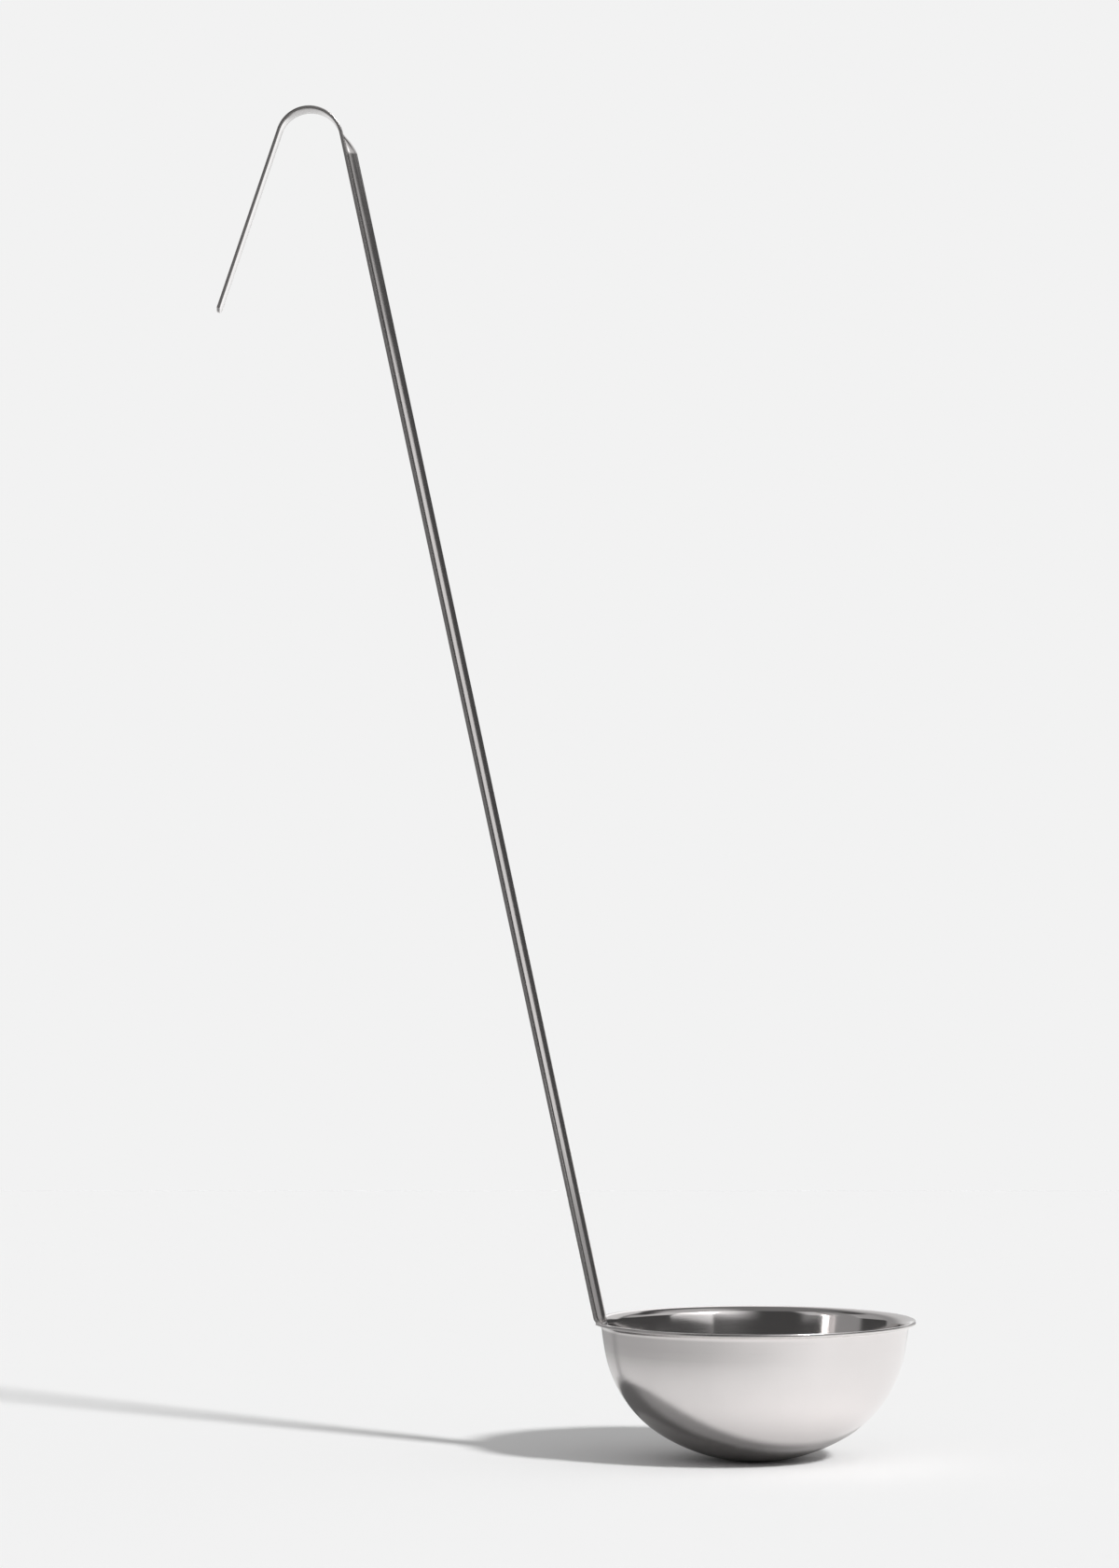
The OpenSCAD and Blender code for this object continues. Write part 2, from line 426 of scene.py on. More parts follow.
class HandleShape:
    """Outer face of the handle's sheet in its own frame: u towards the bowl, y across and v up the strip.

    u and v are zero where the outer face passes the lip's top edge. depth is zero on the outer face and the
    sheet's thickness on the inner one.
    """

    def __init__(self, sizes):
        self.sizes = sizes
        section = BowlSection(sizes)
        lean = sizes.handle_lean
        across = section.lip_radius - section.fillet_centre.x
        down = section.fillet_centre.y - sizes.rim_height
        self.wall_radius = section.wall_top.x
        self.wall_lean = lean - sizes.wall_draft
        self.lower = Vector(
            (
                across * math.cos(lean) + down * math.sin(lean),
                -across * math.sin(lean) + down * math.cos(lean),
            )
        )
        reach = sizes.foot_bend + sizes.lip_fillet
        self.upper_v = self.lower.y + math.sqrt(reach**2 - (sizes.foot_bend - self.lower.x) ** 2)
        self.meet_share = (self.lower.y - self.upper_v) / reach
        self.rib_turn = math.acos(
            (sizes.rib_root + sizes.rib_radius - sizes.rib_height) / (sizes.rib_radius + sizes.rib_root)
        )
        self.hook_turn = math.pi - lean - sizes.hook_leg_lean
        self.rib_low_v = max(self.upper_v, sizes.rib_foot_ramp - sizes.foot_depth)

    def wall_v(self, depth):
        return self.lower.y - (self.sizes.lip_fillet + depth) * math.sin(self.wall_lean)

    def face_u(self, v, depth):
        """Where a face of the sheet lies at a height up the strip, through the foot's two bends."""
        bend, fillet = self.sizes.foot_bend, self.sizes.lip_fillet
        if v >= self.upper_v:
            return depth
        if v >= self.upper_v + (bend - depth) * self.meet_share:
            return bend - math.sqrt((bend - depth) ** 2 - (v - self.upper_v) ** 2)
        if v >= self.wall_v(depth):
            return self.lower.x + math.sqrt((fillet + depth) ** 2 - (v - self.lower.y) ** 2)
        start = self.lower.x + (fillet + depth) * math.cos(self.wall_lean)
        return start + (v - self.wall_v(depth)) * math.tan(self.wall_lean)

    def bow_u(self, y, v):
        """How far the foot is curved across its width, like the bowl where it meets the wall."""
        share = max(0.0, min(1.0, (self.upper_v - v) / (self.upper_v - self.wall_v(0))))
        share = share * share * (3 - 2 * share)
        return share * (self.wall_radius - math.sqrt(self.wall_radius**2 - y * y))

    def rib_share(self, v):
        """Share of the rib's height at a height up the strip."""
        sizes = self.sizes

        def ramp(share):
            return 1 - (1 - max(0.0, min(1.0, share))) ** RAMP_POWER

        top = ramp((sizes.strip_length - v) / sizes.rib_top_ramp)
        foot = ramp((v + sizes.foot_depth) / sizes.rib_foot_ramp)
        crest = (sizes.sheet + sizes.rib_height - self.face_u(v, sizes.sheet)) / sizes.rib_height
        return max(0.0, min(top, foot, crest))

    def row(self, v):
        """Points of the outer face across the strip at a height up it, in order of y."""
        sizes = self.sizes
        root = sizes.rib_root + sizes.sheet
        crest = sizes.rib_radius - sizes.sheet
        crest_rise = sizes.rib_height - sizes.rib_radius + sizes.sheet
        foot_y = (sizes.rib_radius + sizes.rib_root) * math.sin(self.rib_turn)
        half = []
        for i in range(ROOT_STEPS):
            turn = self.rib_turn * i / ROOT_STEPS
            half.append((foot_y - root * math.sin(turn), root - root * math.cos(turn)))
        for i in range(CREST_STEPS // 2):
            turn = self.rib_turn * (1 - 2 * i / CREST_STEPS)
            half.append((crest * math.sin(turn), crest_rise + crest * math.cos(turn)))
        share = self.rib_share(v)
        nose = RAMP_NOSE + (1 - RAMP_NOSE) * math.sqrt(share)
        side = [(nose * y, share * rise) for y, rise in half]
        side = [(sizes.strip_width / 2, 0.0), (nose * foot_y + FLAT_END, 0.0)] + side
        section = [(-y, rise) for y, rise in side] + [(0.0, share * (crest_rise + crest))] + side[::-1]
        return [Vector((self.face_u(v, 0) + rise + self.bow_u(y, v), y, v)) for y, rise in section]

    def heights(self):
        """Heights of the rows up the strip, close together where it bends or ramps."""
        sizes = self.sizes
        low = -sizes.foot_depth - 2 * sizes.sheet
        top = sizes.strip_length - sizes.rib_top_ramp
        foot = [low + (self.rib_low_v - low) * i / FOOT_ROWS for i in range(FOOT_ROWS)]
        strip = [self.rib_low_v + (top - self.rib_low_v) * i / STRIP_ROWS for i in range(STRIP_ROWS)]
        shares = [1 - (1 - i / RAMP_ROWS) ** RAMP_POWER for i in range(RAMP_ROWS + 1)]
        ramp = [top + sizes.rib_top_ramp * share for share in shares]
        return foot + strip + ramp

    def to_world(self):
        """From the handle's frame to the ladle's."""
        place = Vector((-self.sizes.lip_diameter / 2, 0, self.sizes.rim_height))
        return Matrix.Translation(place) @ Matrix.Rotation(-self.sizes.handle_lean, 4, "Y")


def verts_of(geom):
    return [item for item in geom if isinstance(item, bmesh.types.BMVert)]


def edges_of(geom):
    return [item for item in geom if isinstance(item, bmesh.types.BMEdge)]


def line_on(bm, vert, radius, height):
    """Runs a section on to a point in a straight line, and returns its new end."""
    end = bmesh.ops.extrude_vert_indiv(bm, verts=[vert])["verts"][0]
    end.co = (radius, 0, height)
    return end


def arc_on(bm, vert, centre, turn, steps):
    """Runs a section on along an arc, and returns its new end."""
    spun = bmesh.ops.spin(
        bm, geom=[vert], cent=(centre.x, 0, centre.y), axis=(0, -1, 0), angle=turn, steps=steps
    )
    return verts_of(spun["geom_last"])[0]


def bowl_sheet(bm, sizes):
    """The bowl's outer face, turned about the Z axis and facing outwards."""
    section = BowlSection(sizes)
    end = line_on(bm, bm.verts.new((0, 0, 0)), section.flat_radius, 0)
    arcs = [(section.bottom_centre, section.bottom_turn), (section.side_centre, section.side_turn)]
    for centre, turn in arcs:
        end = arc_on(bm, end, centre, turn, math.ceil(turn / SECTION_STEP))
    wall_start = Vector((end.co.x, end.co.z))
    wall_way = (section.wall_top - wall_start).normalized()
    for point in (wall_start + FLAT_END * wall_way, section.wall_top - LIP_TURN * wall_way, section.wall_top):
        end = line_on(bm, end, point.x, point.y)
    end = arc_on(bm, end, section.fillet_centre, section.fillet_turn, FILLET_STEPS)
    line_on(bm, end, section.lip_radius, section.lip_under)
    bmesh.ops.spin(
        bm,
        geom=bm.verts[:] + bm.edges[:],
        cent=(0, 0, 0),
        axis=(0, 0, 1),
        angle=2 * math.pi,
        steps=BOWL_STEPS,
        use_merge=True,
    )
    bmesh.ops.remove_doubles(bm, verts=bm.verts, dist=SAME_POINT)
    face_out(bm, lambda face: face.calc_center_median() - Vector((0, 0, sizes.rim_height)))


def face_out(bm, outwards):
    """Turns a sheet's faces so that they point the given way."""
    bmesh.ops.recalc_face_normals(bm, faces=bm.faces)
    bm.normal_update()
    if sum(face.normal.dot(outwards(face)) * face.calc_area() for face in bm.faces) < 0:
        bmesh.ops.reverse_faces(bm, faces=bm.faces)
    bm.normal_update()


def cut(bm, faces, place, normal):
    """Cuts faces along a plane, without taking any away."""
    edges = {edge for face in faces for edge in face.edges}
    verts = {vert for face in faces for vert in face.verts}
    geom = list(faces) + list(edges) + list(verts)
    bmesh.ops.bisect_plane(bm, geom=geom, dist=SAME_POINT, plane_co=place, plane_no=normal)


def gap_edges(sizes, margin):
    """Half the width of the gap that takes the handle's foot, and the height of its lower edge."""
    return sizes.strip_width / 2 + margin, sizes.rim_height - sizes.foot_depth - margin


def cut_rim_gap(bm, sizes, margin):
    """Cuts the bowl's sheet along the edges of the gap for the foot, and returns the faces in it."""
    half, bottom = gap_edges(sizes, margin)

    def near(low):
        centres = [(face, face.calc_center_median()) for face in bm.faces]
        return [face for face, c in centres if c.x < 0 and c.z > low and abs(c.y) < sizes.strip_width]

    cut(bm, near(bottom - sizes.foot_depth), (0, 0, bottom), (0, 0, 1))
    for side in (-1, 1):
        cut(bm, near(bottom), (0, side * half, 0), (0, 1, 0))
    return [face for face in near(bottom) if abs(face.calc_center_median().y) < half]


def square_gap(bm, sizes, margin):
    """Sets the gap's cut faces square again after the sheet has been given its thickness."""
    half, bottom = gap_edges(sizes, margin)
    slack = 0.2 * sizes.sheet
    for vert in bm.verts:
        if vert.co.x > 0 or vert.co.z < bottom - slack or abs(vert.co.y) > half + slack:
            continue
        if abs(vert.co.z - bottom) < slack:
            vert.co.z = bottom
        if abs(abs(vert.co.y) - half) < slack:
            vert.co.y = math.copysign(half, vert.co.y)


def thicken(bm, thickness):
    """Gives a sheet its thickness, behind the faces that it has."""
    bmesh.ops.solidify(bm, geom=bm.faces[:], thickness=thickness)
    bm.normal_update()


def round_edges(bm, edges, radius):
    """Takes the sharpness off edges of the sheet."""
    bmesh.ops.bevel(
        bm,
        geom=edges,
        offset=radius,
        offset_type="OFFSET",
        segments=EDGE_STEPS,
        profile=0.5,
        affect="EDGES",
        material=-1,
    )


def make_piece(bm, name, *materials):
    """Turns a finished bmesh into a smooth-shaded object at the origin that rides on the ladle."""
    for face in bm.faces:
        face.smooth = True
    for edge in bm.edges:
        edge.smooth = edge.is_manifold and edge.calc_face_angle() < SHARP_ANGLE
    mesh = bpy.data.meshes.new(name)
    bm.to_mesh(mesh)
    bm.free()
    for material in materials:
        mesh.materials.append(material)
    piece = bpy.data.objects.new(name, mesh)
    bpy.context.scene.collection.objects.link(piece)
    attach(piece, "root")
    return piece


def add_node(tree, kind, settings=None, **inputs):
    """Adds a node, sets its settings, and links or sets its inputs by name or by number after a leading n."""
    node = tree.nodes.new(kind)
    for key, value in (settings or {}).items():
        setattr(node, key, value)
    for key, value in inputs.items():
        by_number = key[0] == "n" and key[1:].isdigit()
        socket = node.inputs[int(key[1:]) if by_number else key.replace("_", " ")]
        if isinstance(value, bpy.types.NodeSocket):
            tree.links.new(value, socket)
        else:
            socket.default_value = value
    return node


def new_material(name):
    material = bpy.data.materials.new(name)
    material.use_nodes = True
    material.node_tree.nodes.clear()
    return material, material.node_tree


def turned_place(tree, spacing, sweep):
    """Object coordinates as rings about the Z axis, a spacing apart and drawn out along the sweep's angle."""
    place = add_node(tree, "ShaderNodeTexCoord").outputs["Object"]
    parts = add_node(tree, "ShaderNodeSeparateXYZ", Vector=place)
    flat = add_node(tree, "ShaderNodeCombineXYZ", X=parts.outputs["X"], Y=parts.outputs["Y"], Z=0.0)
    radius = add_node(tree, "ShaderNodeVectorMath", {"operation": "LENGTH"}, n0=flat.outputs[0])
    angle = add_node(
        tree, "ShaderNodeMath", {"operation": "ARCTAN2"}, n0=parts.outputs["Y"], n1=parts.outputs["X"]
    )
    rings = add_node(
        tree,
        "ShaderNodeCombineXYZ",
        X=radius.outputs["Value"],
        Y=parts.outputs["Z"],
        Z=angle.outputs[0],
    )
    scaled = add_node(
        tree,
        "ShaderNodeVectorMath",
        {"operation": "MULTIPLY"},
        n0=rings.outputs[0],
        n1=(1 / spacing, 1 / spacing, 1 / sweep),
    )
    return scaled.outputs[0]


def drawn_place(tree, spacing, run):
    """Object coordinates as lines across the handle's width, a spacing apart and drawn out along its run."""
    place = add_node(tree, "ShaderNodeTexCoord").outputs["Object"]
    scaled = add_node(
        tree,
        "ShaderNodeVectorMath",
        {"operation": "MULTIPLY"},
        n0=place,
        n1=(1 / run, 1 / spacing, 1 / run),
    )
    return scaled.outputs[0]


def steel_material(name, finish, roughness, lines_at, depth, spread):
    """Stainless steel with fine lines left by its finishing, and soft patches where that took more or less.

    lines_at gives the lines' coordinates in a tree, depth is the height of the lines in metres and spread is
    how much the roughness varies.
    """
    material, tree = new_material(name)
    lines = add_node(tree, "ShaderNodeTexNoise", Vector=lines_at(tree), Scale=1.0, Detail=2.0, Roughness=0.6)
    patches = add_node(
        tree,
        "ShaderNodeTexNoise",
        Vector=add_node(tree, "ShaderNodeTexCoord").outputs["Object"],
        Scale=1 / PATCH_SIZE,
        Detail=3.0,
        Roughness=0.55,
    )
    both = add_node(
        tree,
        "ShaderNodeMath",
        {"operation": "MULTIPLY_ADD"},
        n0=lines.outputs["Fac"],
        n1=LINES_SHARE,
        n2=patches.outputs["Fac"],
    )
    rough = add_node(
        tree,
        "ShaderNodeMapRange",
        Value=both.outputs[0],
        From_Min=FINISH_RANGE[0],
        From_Max=FINISH_RANGE[1],
        To_Min=roughness - spread,
        To_Max=roughness + spread,
    )
    dull = [DULL_SHARE * c for c in finish.steel]
    tint = add_node(
        tree,
        "ShaderNodeMix",
        {"data_type": "RGBA"},
        Factor=patches.outputs["Fac"],
        n6=list(finish.steel) + [1.0],
        n7=dull + [1.0],
    )
    bump = add_node(tree, "ShaderNodeBump", Strength=1.0, Distance=depth, Height=lines.outputs["Fac"])
    shader = add_node(
        tree,
        "ShaderNodeBsdfPrincipled",
        Base_Color=tint.outputs[2],
        Metallic=1.0,
        Roughness=rough.outputs["Result"],
        Normal=bump.outputs["Normal"],
    )
    add_node(tree, "ShaderNodeOutputMaterial", Surface=shader.outputs["BSDF"])
    return material


def satin_outside(finish):
    """Satin stainless, brushed as the bowl turns: it blurs what it reflects and shows faint rings."""
    # Brush lines are about 0.05 mm apart; they are drawn at 0.5 mm so that they show
    return steel_material(
        "satin_stainless_bowl",
        finish,
        roughness=finish.satin_roughness,
        lines_at=lambda tree: turned_place(tree, spacing=0.0005, sweep=0.3),
        depth=2e-6,
        spread=0.05,
    )


def polished_inside(finish):
    """Stainless polished on a wheel: it mirrors the room, with a slight haze."""
    # Polishing marks are far below 0.1 mm; they are drawn at 0.8 mm so that they show
    return steel_material(
        "polished_stainless_bowl",
        finish,
        roughness=finish.polish_roughness,
        lines_at=lambda tree: turned_place(tree, spacing=0.0008, sweep=0.3),
        depth=1e-6,
        spread=0.03,
    )


def rolled_strip(finish):
    """Bright rolled stainless strip: a clear, slightly soft mirror with lines drawn along its run."""
    # Rolling lines are about 0.05 mm apart; they are drawn at 0.5 mm so that they show
    return steel_material(
        "bright_rolled_stainless_strip",
        finish,
        roughness=finish.handle_roughness,
        lines_at=lambda tree: drawn_place(tree, spacing=0.0005, run=0.05),
        depth=1e-6,
        spread=0.04,
    )


def ground_weld(finish):
    """Stainless weld, ground flush and brushed over: a little duller than the sheet beside it."""
    # Grinding marks of about 0.1 mm, drawn at 0.3 mm so that they show
    return steel_material(
        "ground_stainless_weld",
        finish,
        roughness=finish.weld_roughness,
        lines_at=lambda tree: turned_place(tree, spacing=0.0003, sweep=0.05),
        depth=2e-6,
        spread=0.06,
    )


def mark_inside(bm, sizes):
    """Gives the bowl's inner face and the lip's top the second material."""
    centre = Vector((0, 0, sizes.rim_height))
    bm.normal_update()
    for face in bm.faces:
        into = centre - face.calc_center_median()
        if face.normal.dot(into) > 0 or face.normal.z > LIP_TOP_RISE:
            face.material_index = 1


class LADLE_OT_bowl(bpy.types.Operator):
    """Press the bowl, with the gap in its lip for the handle's foot"""

    bl_idname = "ladle.bowl"
    bl_label = "Bowl"

    def execute(self, context):
        sizes, finish = context.scene.ladle_sizes, context.scene.ladle_finish
        bm = bmesh.new()
        bowl_sheet(bm, sizes)
        bmesh.ops.delete(bm, geom=cut_rim_gap(bm, sizes, sizes.weld_width), context="FACES")
        thicken(bm, sizes.sheet)
        square_gap(bm, sizes, sizes.weld_width)
        lip = sizes.lip_diameter / 2 - LIP_SLACK
        rim = [edge for edge in bm.edges if all(vert.co.xy.length > lip for vert in edge.verts)]
        level = [edge for edge in rim if abs(edge.verts[0].co.z - edge.verts[1].co.z) < LEVEL_SLACK]
        round_edges(bm, level, sizes.edge_round)
        mark_inside(bm, sizes)
        piece = make_piece(bm, "pressed_bowl", satin_outside(finish), polished_inside(finish))
        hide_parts("bowl")
        return {"FINISHED"}


def extrude_row(bm, edges, points):
    """Runs a sheet on from its last row of edges to a new row of points, both in order of y."""
    grown = bmesh.ops.extrude_edge_only(bm, edges=edges)["geom"]
    verts = sorted(verts_of(grown), key=lambda vert: vert.co.y)
    for vert, point in zip(verts, points):
        vert.co = point
    new = set(verts)
    return [edge for edge in edges_of(grown) if set(edge.verts) <= new]


def run_strip(bm, shape):
    """Runs the ribbed strip's outer face up from its foot, and returns its last row of edges."""
    heights = shape.heights()
    row = [bm.verts.new(point) for point in shape.row(heights[0])]
    edges = [bm.edges.new(pair) for pair in zip(row, row[1:])]
    for v in heights[1:]:
        edges = extrude_row(bm, edges, shape.row(v))
    return edges


def bend_hook(bm, edges, shape):
    """Bends the strip over from its last row of edges, and runs the hook's leg on to its rounded tip."""
    sizes = shape.sizes
    spun = bmesh.ops.spin(
        bm,
        geom=edges + list({vert for edge in edges for vert in edge.verts}),
        cent=(-sizes.hook_radius, 0, sizes.strip_length),
        axis=(0, -1, 0),
        angle=shape.hook_turn,
        steps=HOOK_STEPS,
    )
    edges = edges_of(spun["geom_last"])
    leg = Vector((-math.sin(shape.hook_turn), 0, math.cos(shape.hook_turn)))
    half = sizes.strip_width / 2
    tip_radius = (half**2 + sizes.hook_tip_rise**2) / (2 * sizes.hook_tip_rise)
    square = sizes.hook_leg - sizes.hook_tip_rise - sizes.sheet
    ends = sorted({vert for edge in edges for vert in edge.verts}, key=lambda vert: vert.co.y)
    starts = [vert.co.copy() for vert in ends]
    for along in (FLAT_END, square):
        edges = extrude_row(bm, edges, [start + along * leg for start in starts])
    tips = [sizes.hook_leg - tip_radius + math.sqrt(tip_radius**2 - start.y**2) for start in starts]
    extrude_row(bm, edges, [start + tip * leg for start, tip in zip(starts, tips)])


def strip_outwards(face, sizes):
    """Away from the bowl on the straight strip. The hook's faces turn over, so they don't count."""
    on_strip = face.calc_center_median().x > -sizes.sheet
    return Vector((-1, 0, 0)) if on_strip else Vector((0, 0, 0))


def cut_foot(bm, sizes):
    """Cuts the strip off level where the weld takes it, and closes the cut."""
    bmesh.ops.bisect_plane(
        bm,
        geom=bm.verts[:] + bm.edges[:] + bm.faces[:],
        dist=SAME_POINT,
        plane_co=(0, 0, sizes.rim_height - sizes.foot_depth),
        plane_no=(0, 0, 1),
        clear_inner=True,
    )
    open_edges = [edge for edge in bm.edges if edge.is_boundary]
    bmesh.ops.holes_fill(bm, edges=open_edges, sides=0)
    bmesh.ops.triangulate(bm, faces=[face for face in bm.faces if len(face.verts) > 4])
    bm.normal_update()


def is_free_edge(edge, sizes):
    """Whether an edge is a sharp one of the strip's that stands clear of the bowl."""
    if not edge.is_manifold or edge.calc_face_angle() < FREE_EDGE_ANGLE:
        return False
    return all(vert.co.z > sizes.rim_height + sizes.sheet for vert in edge.verts)


class LADLE_OT_handle(bpy.types.Operator):
    """Press the ribbed strip, bend its hook and shape its foot to the bowl's wall"""

    bl_idname = "ladle.handle"
    bl_label = "Handle"

    def execute(self, context):
        sizes, finish = context.scene.ladle_sizes, context.scene.ladle_finish
        shape = HandleShape(sizes)
        bm = bmesh.new()
        bend_hook(bm, run_strip(bm, shape), shape)
        bmesh.ops.remove_doubles(bm, verts=bm.verts, dist=SAME_POINT)
        face_out(bm, lambda face: strip_outwards(face, sizes))
        thicken(bm, sizes.sheet)
        bmesh.ops.transform(bm, matrix=shape.to_world(), verts=bm.verts)
        cut_foot(bm, sizes)
        free = [edge for edge in bm.edges if is_free_edge(edge, sizes)]
        round_edges(bm, free, sizes.edge_round)
        piece = make_piece(bm, "ribbed_handle", rolled_strip(finish))
        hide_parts("handle")
        return {"FINISHED"}


class LADLE_OT_weld(bpy.types.Operator):
    """Run the weld around the handle's foot and dress it flush"""

    bl_idname = "ladle.weld"
    bl_label = "Weld"

    def execute(self, context):
        sizes, finish = context.scene.ladle_sizes, context.scene.ladle_finish
        bm = bmesh.new()
        bowl_sheet(bm, sizes)
        cut_rim_gap(bm, sizes, sizes.weld_width)
        foot = set(cut_rim_gap(bm, sizes, 0))
        half, bottom = gap_edges(sizes, sizes.weld_width)

        def in_weld(face):
            centre = face.calc_center_median()
            return face not in foot and centre.x < 0 and abs(centre.y) < half and centre.z > bottom

        spare = [face for face in bm.faces if not in_weld(face)]
        bmesh.ops.delete(bm, geom=spare, context="FACES")
        thicken(bm, sizes.sheet)
        square_gap(bm, sizes, sizes.weld_width)
        square_gap(bm, sizes, 0)
        piece = make_piece(bm, "dressed_weld", ground_weld(finish))
        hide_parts("weld_seam")
        return {"FINISHED"}


def soft_step(tree, value, at, soft, rising=True):
    """Passes from 0 to 1, or back, as a value passes a place, over a softness to each side of it."""
    ends = (0.0, 1.0) if rising else (1.0, 0.0)
    step = add_node(
        tree,
        "ShaderNodeMapRange",
        {"interpolation_type": "SMOOTHSTEP"},
        Value=value,
        From_Min=at - soft,
        From_Max=at + soft,
        To_Min=ends[0],
        To_Max=ends[1],
    )
    return step.outputs["Result"]


def product(tree, first, second):
    return add_node(tree, "ShaderNodeMath", {"operation": "MULTIPLY"}, n0=first, n1=second).outputs[0]


def band(tree, angle, ends, soft):
    """Is 1 where an angle lies between two ends in degrees and 0 outside them, over a softness."""
    low, high, soft = (math.radians(value) for value in (*ends, soft))
    return product(tree, soft_step(tree, angle, low, soft), soft_step(tree, angle, high, soft, rising=False))


def room_level(tree):
    """Level of the studio's walls by direction: a dark room with lit areas, which the metal mirrors."""
    way = add_node(tree, "ShaderNodeTexCoord").outputs["Generated"]
    parts = add_node(tree, "ShaderNodeSeparateXYZ", Vector=way)
    left = product(tree, parts.outputs["X"], -1.0)
    front = product(tree, parts.outputs["Y"], -1.0)
    bearing = add_node(tree, "ShaderNodeMath", {"operation": "ARCTAN2"}, n0=left, n1=front).outputs[0]
    height = add_node(tree, "ShaderNodeMath", {"operation": "ARCSINE"}, n0=parts.outputs["Z"]).outputs[0]
    level = DARK_ROOM
    for bearings, bearing_soft, heights, height_soft, area_level in LIT_AREAS:
        across = band(tree, bearing, bearings, bearing_soft)
        up = band(tree, height, heights, height_soft)
        level = add_node(
            tree,
            "ShaderNodeMath",
            {"operation": "MULTIPLY_ADD"},
            n0=product(tree, across, up),
            n1=area_level,
            n2=level,
        ).outputs[0]
    return level


def painted_floor(setup):
    """Matt white paint, even to the camera. Glossy rays see its colour with painted light and shade."""
    material, tree = new_material("matt_painted_floor")
    place = add_node(tree, "ShaderNodeTexCoord").outputs["Object"]
    # Painted light and shade: a pool of light, the bowl's shadow and the shade under it, as shares of the
    # colour
    share = 1.0
    for centre, reach, soft, (inside, outside) in FLOOR_PAINTED_LIGHT:
        away = add_node(tree, "ShaderNodeVectorMath", {"operation": "DISTANCE"}, n0=place, n1=centre)
        step = soft_step(tree, away.outputs["Value"], reach, soft)
        part = add_node(tree, "ShaderNodeMapRange", Value=step, To_Min=inside, To_Max=outside)
        share = product(tree, share, part.outputs["Result"])
    paint = list(setup.floor)
    painted_light_colour = add_node(tree, "ShaderNodeVectorMath", {"operation": "SCALE"}, n0=paint, Scale=share)
    # Only glossy rays see the colour with the painted light and shade, so only the metal mirrors it
    colour = add_node(
        tree,
        "ShaderNodeMix",
        {"data_type": "RGBA"},
        Factor=add_node(tree, "ShaderNodeLightPath").outputs["Is Glossy Ray"],
        n6=paint + [1.0],
        n7=painted_light_colour.outputs["Vector"],
    )
    shader = add_node(tree, "ShaderNodeBsdfDiffuse", Color=colour.outputs[2])
    add_node(tree, "ShaderNodeOutputMaterial", Surface=shader.outputs["BSDF"])
    return material


def make_floor(setup):
    """The studio's floor, a flat sheet under the bowl."""
    bm = bmesh.new()
    # A square of one metre, stretched to the floor's size
    bmesh.ops.create_grid(bm, x_segments=1, y_segments=1, size=0.5)
    bmesh.ops.scale(bm, verts=bm.verts, vec=(setup.floor_width, setup.floor_front + setup.floor_back, 1))
    bmesh.ops.translate(bm, verts=bm.verts, vec=(0, (setup.floor_back - setup.floor_front) / 2, 0))
    mesh = bpy.data.meshes.new("floor")
    bm.to_mesh(mesh)
    bm.free()
    mesh.materials.append(painted_floor(setup))
    return bpy.data.objects.new("floor", mesh)


def make_key(setup):
    """The key lamp at the right and front, which casts the shadow."""
    lamp = bpy.data.lights.new("key", "SUN")
    lamp.energy = setup.key_strength
    lamp.angle = setup.key_spread
    key = bpy.data.objects.new("key", lamp)
    level = math.cos(setup.key_height)
    across = level * math.cos(setup.key_bearing)
    front = level * math.sin(setup.key_bearing)
    towards = Vector((across, -front, math.sin(setup.key_height)))
    key.rotation_euler = towards.to_track_quat("Z", "Y").to_euler()
    return key


def make_screen(setup):
    """The soft screen lamp, upright at the right and front."""
    width, height = setup.screen_size
    lamp = bpy.data.lights.new("screen", "AREA")
    lamp.shape = "RECTANGLE"
    lamp.size = width
    lamp.size_y = height
    lamp.energy = setup.screen_level * math.pi * width * height
    screen = bpy.data.objects.new("screen", lamp)
    screen.location = setup.screen_place
    away = Vector((screen.location.x, screen.location.y, 0))
    screen.rotation_euler = away.to_track_quat("Z", "Y").to_euler()
    # It only shows in the metal, so that the floor stays evenly lit
    screen.visible_diffuse = False
    return screen


def make_world(setup):
    """Soft light from all around, the backdrop that the camera sees, and the room that the metal mirrors."""
    world = bpy.data.worlds.new("studio")
    world.use_nodes = True
    tree = world.node_tree
    tree.nodes.clear()
    path = add_node(tree, "ShaderNodeLightPath")
    lit = add_node(
        tree,
        "ShaderNodeMix",
        {"data_type": "RGBA"},
        Factor=path.outputs["Is Glossy Ray"],
        n6=[setup.fill] * 3 + [1.0],
        n7=room_level(tree),
    )
    colour = add_node(
        tree,
        "ShaderNodeMix",
        {"data_type": "RGBA"},
        Factor=path.outputs["Is Camera Ray"],
        n6=lit.outputs[2],
        n7=list(setup.backdrop) + [1.0],
    )
    background = add_node(tree, "ShaderNodeBackground", Color=colour.outputs[2], Strength=1.0)
    add_node(tree, "ShaderNodeOutputWorld", Surface=background.outputs["Background"])
    return world


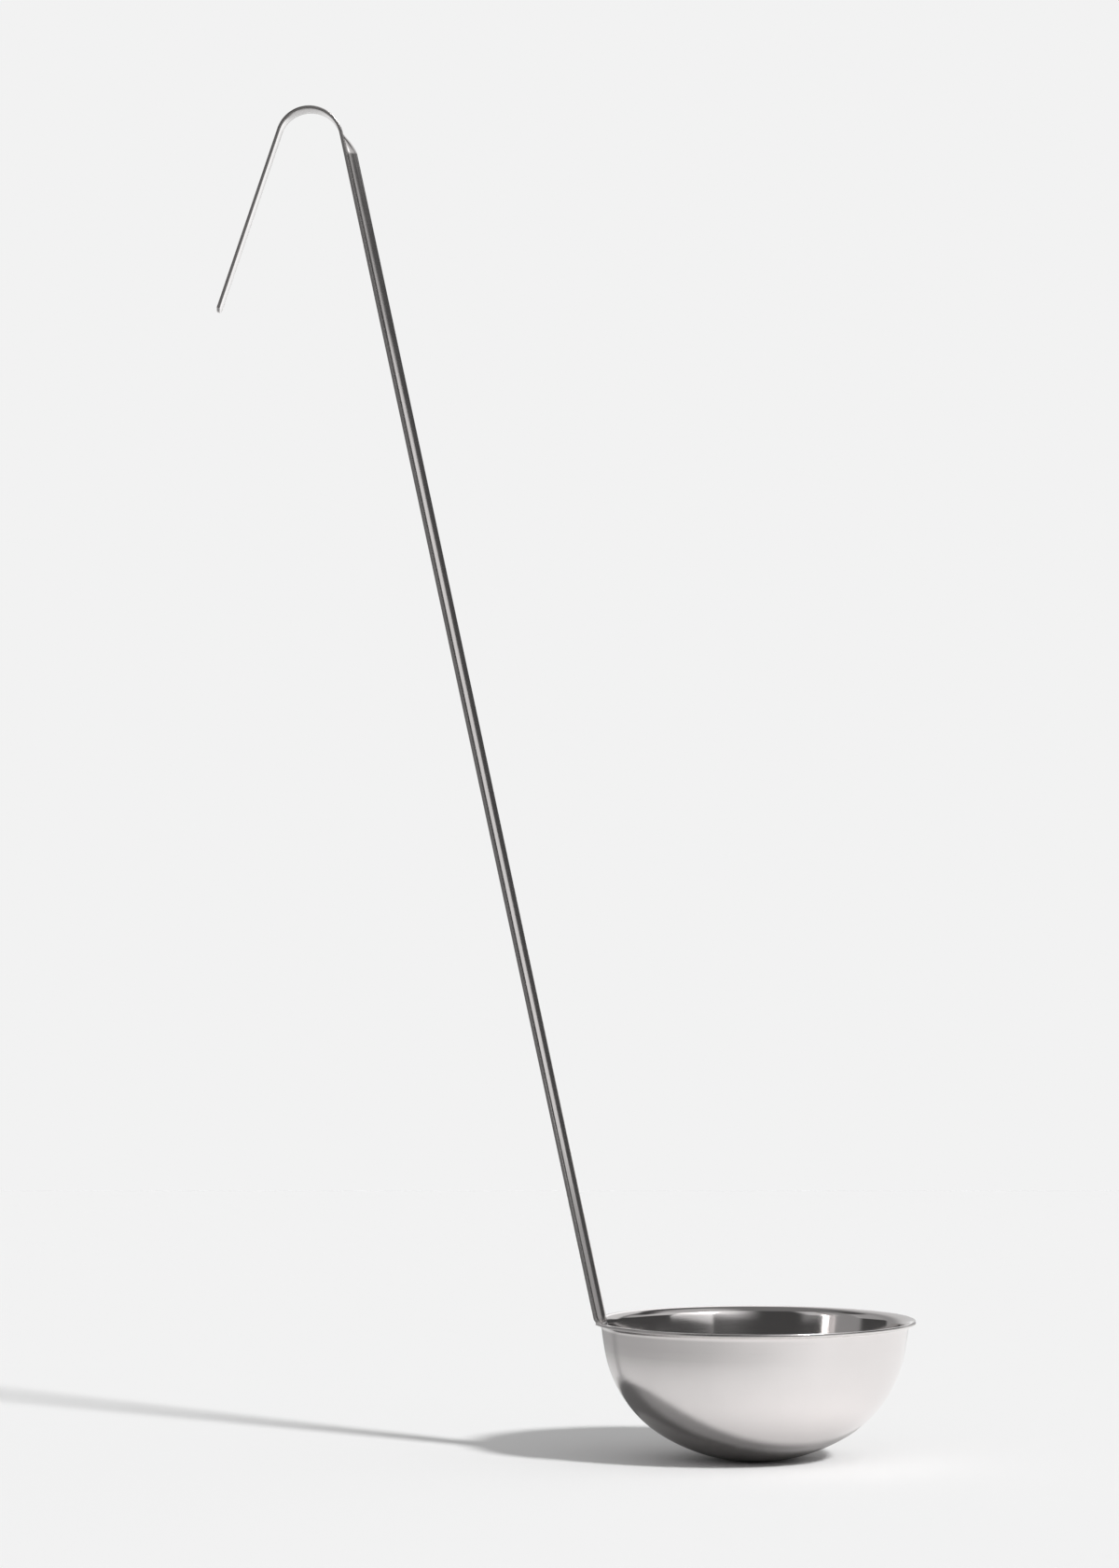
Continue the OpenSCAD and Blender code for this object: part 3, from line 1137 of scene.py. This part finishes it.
def make_camera(setup):
    """The camera, level and looking along +Y."""
    lens = bpy.data.cameras.new("camera")
    lens.lens = setup.lens
    lens.sensor_width = SENSOR_WIDTH
    lens.clip_end = SIGHT
    camera = bpy.data.objects.new("camera", lens)
    camera.location = setup.camera_place
    camera.rotation_euler = (math.pi / 2, 0, 0)
    return camera


class LADLE_OT_studio(bpy.types.Operator):
    """Set up the floor, the light and the camera"""

    bl_idname = "ladle.studio"
    bl_label = "Studio"

    def execute(self, context):
        scene = context.scene
        setup = scene.ladle_studio
        scene.view_settings.view_transform = "Standard"
        floor = make_floor(setup)
        camera = make_camera(setup)
        for thing in (floor, make_key(setup), make_screen(setup), camera):
            scene.collection.objects.link(thing)
        scene.world = make_world(setup)
        scene.camera = camera
        return {"FINISHED"}


class LADLE_PT_panel(bpy.types.Panel):
    """The ladle's sizes, finish and studio, and the steps that build them"""

    bl_idname = "LADLE_PT_panel"
    bl_label = "Soup ladle"
    bl_space_type = "VIEW_3D"
    bl_region_type = "UI"
    bl_category = "Ladle"

    def draw(self, context):
        for group in (context.scene.ladle_sizes, context.scene.ladle_finish, context.scene.ladle_studio):
            box = self.layout.box()
            for name in group.__annotations__:
                box.prop(group, name)
        for operator in OPERATORS:
            self.layout.operator(operator.bl_idname)


GROUPS = {"ladle_sizes": LadleSizes, "ladle_finish": LadleFinish, "ladle_studio": StudioSetup}
OPERATORS = [LADLE_OT_bowl, LADLE_OT_handle, LADLE_OT_weld, LADLE_OT_studio]
CLASSES = [*GROUPS.values(), *OPERATORS, LADLE_PT_panel]


def register():
    for cls in CLASSES:
        bpy.utils.register_class(cls)
    for name, group in GROUPS.items():
        setattr(bpy.types.Scene, name, PointerProperty(type=group))


def unregister():
    for name in GROUPS:
        delattr(bpy.types.Scene, name)
    for cls in reversed(CLASSES):
        bpy.utils.unregister_class(cls)


def main():
    register()
    bpy.ops.ladle.bowl()
    bpy.ops.ladle.handle()
    bpy.ops.ladle.weld()
    bpy.ops.ladle.studio()


if __name__ == "__main__":
    main()
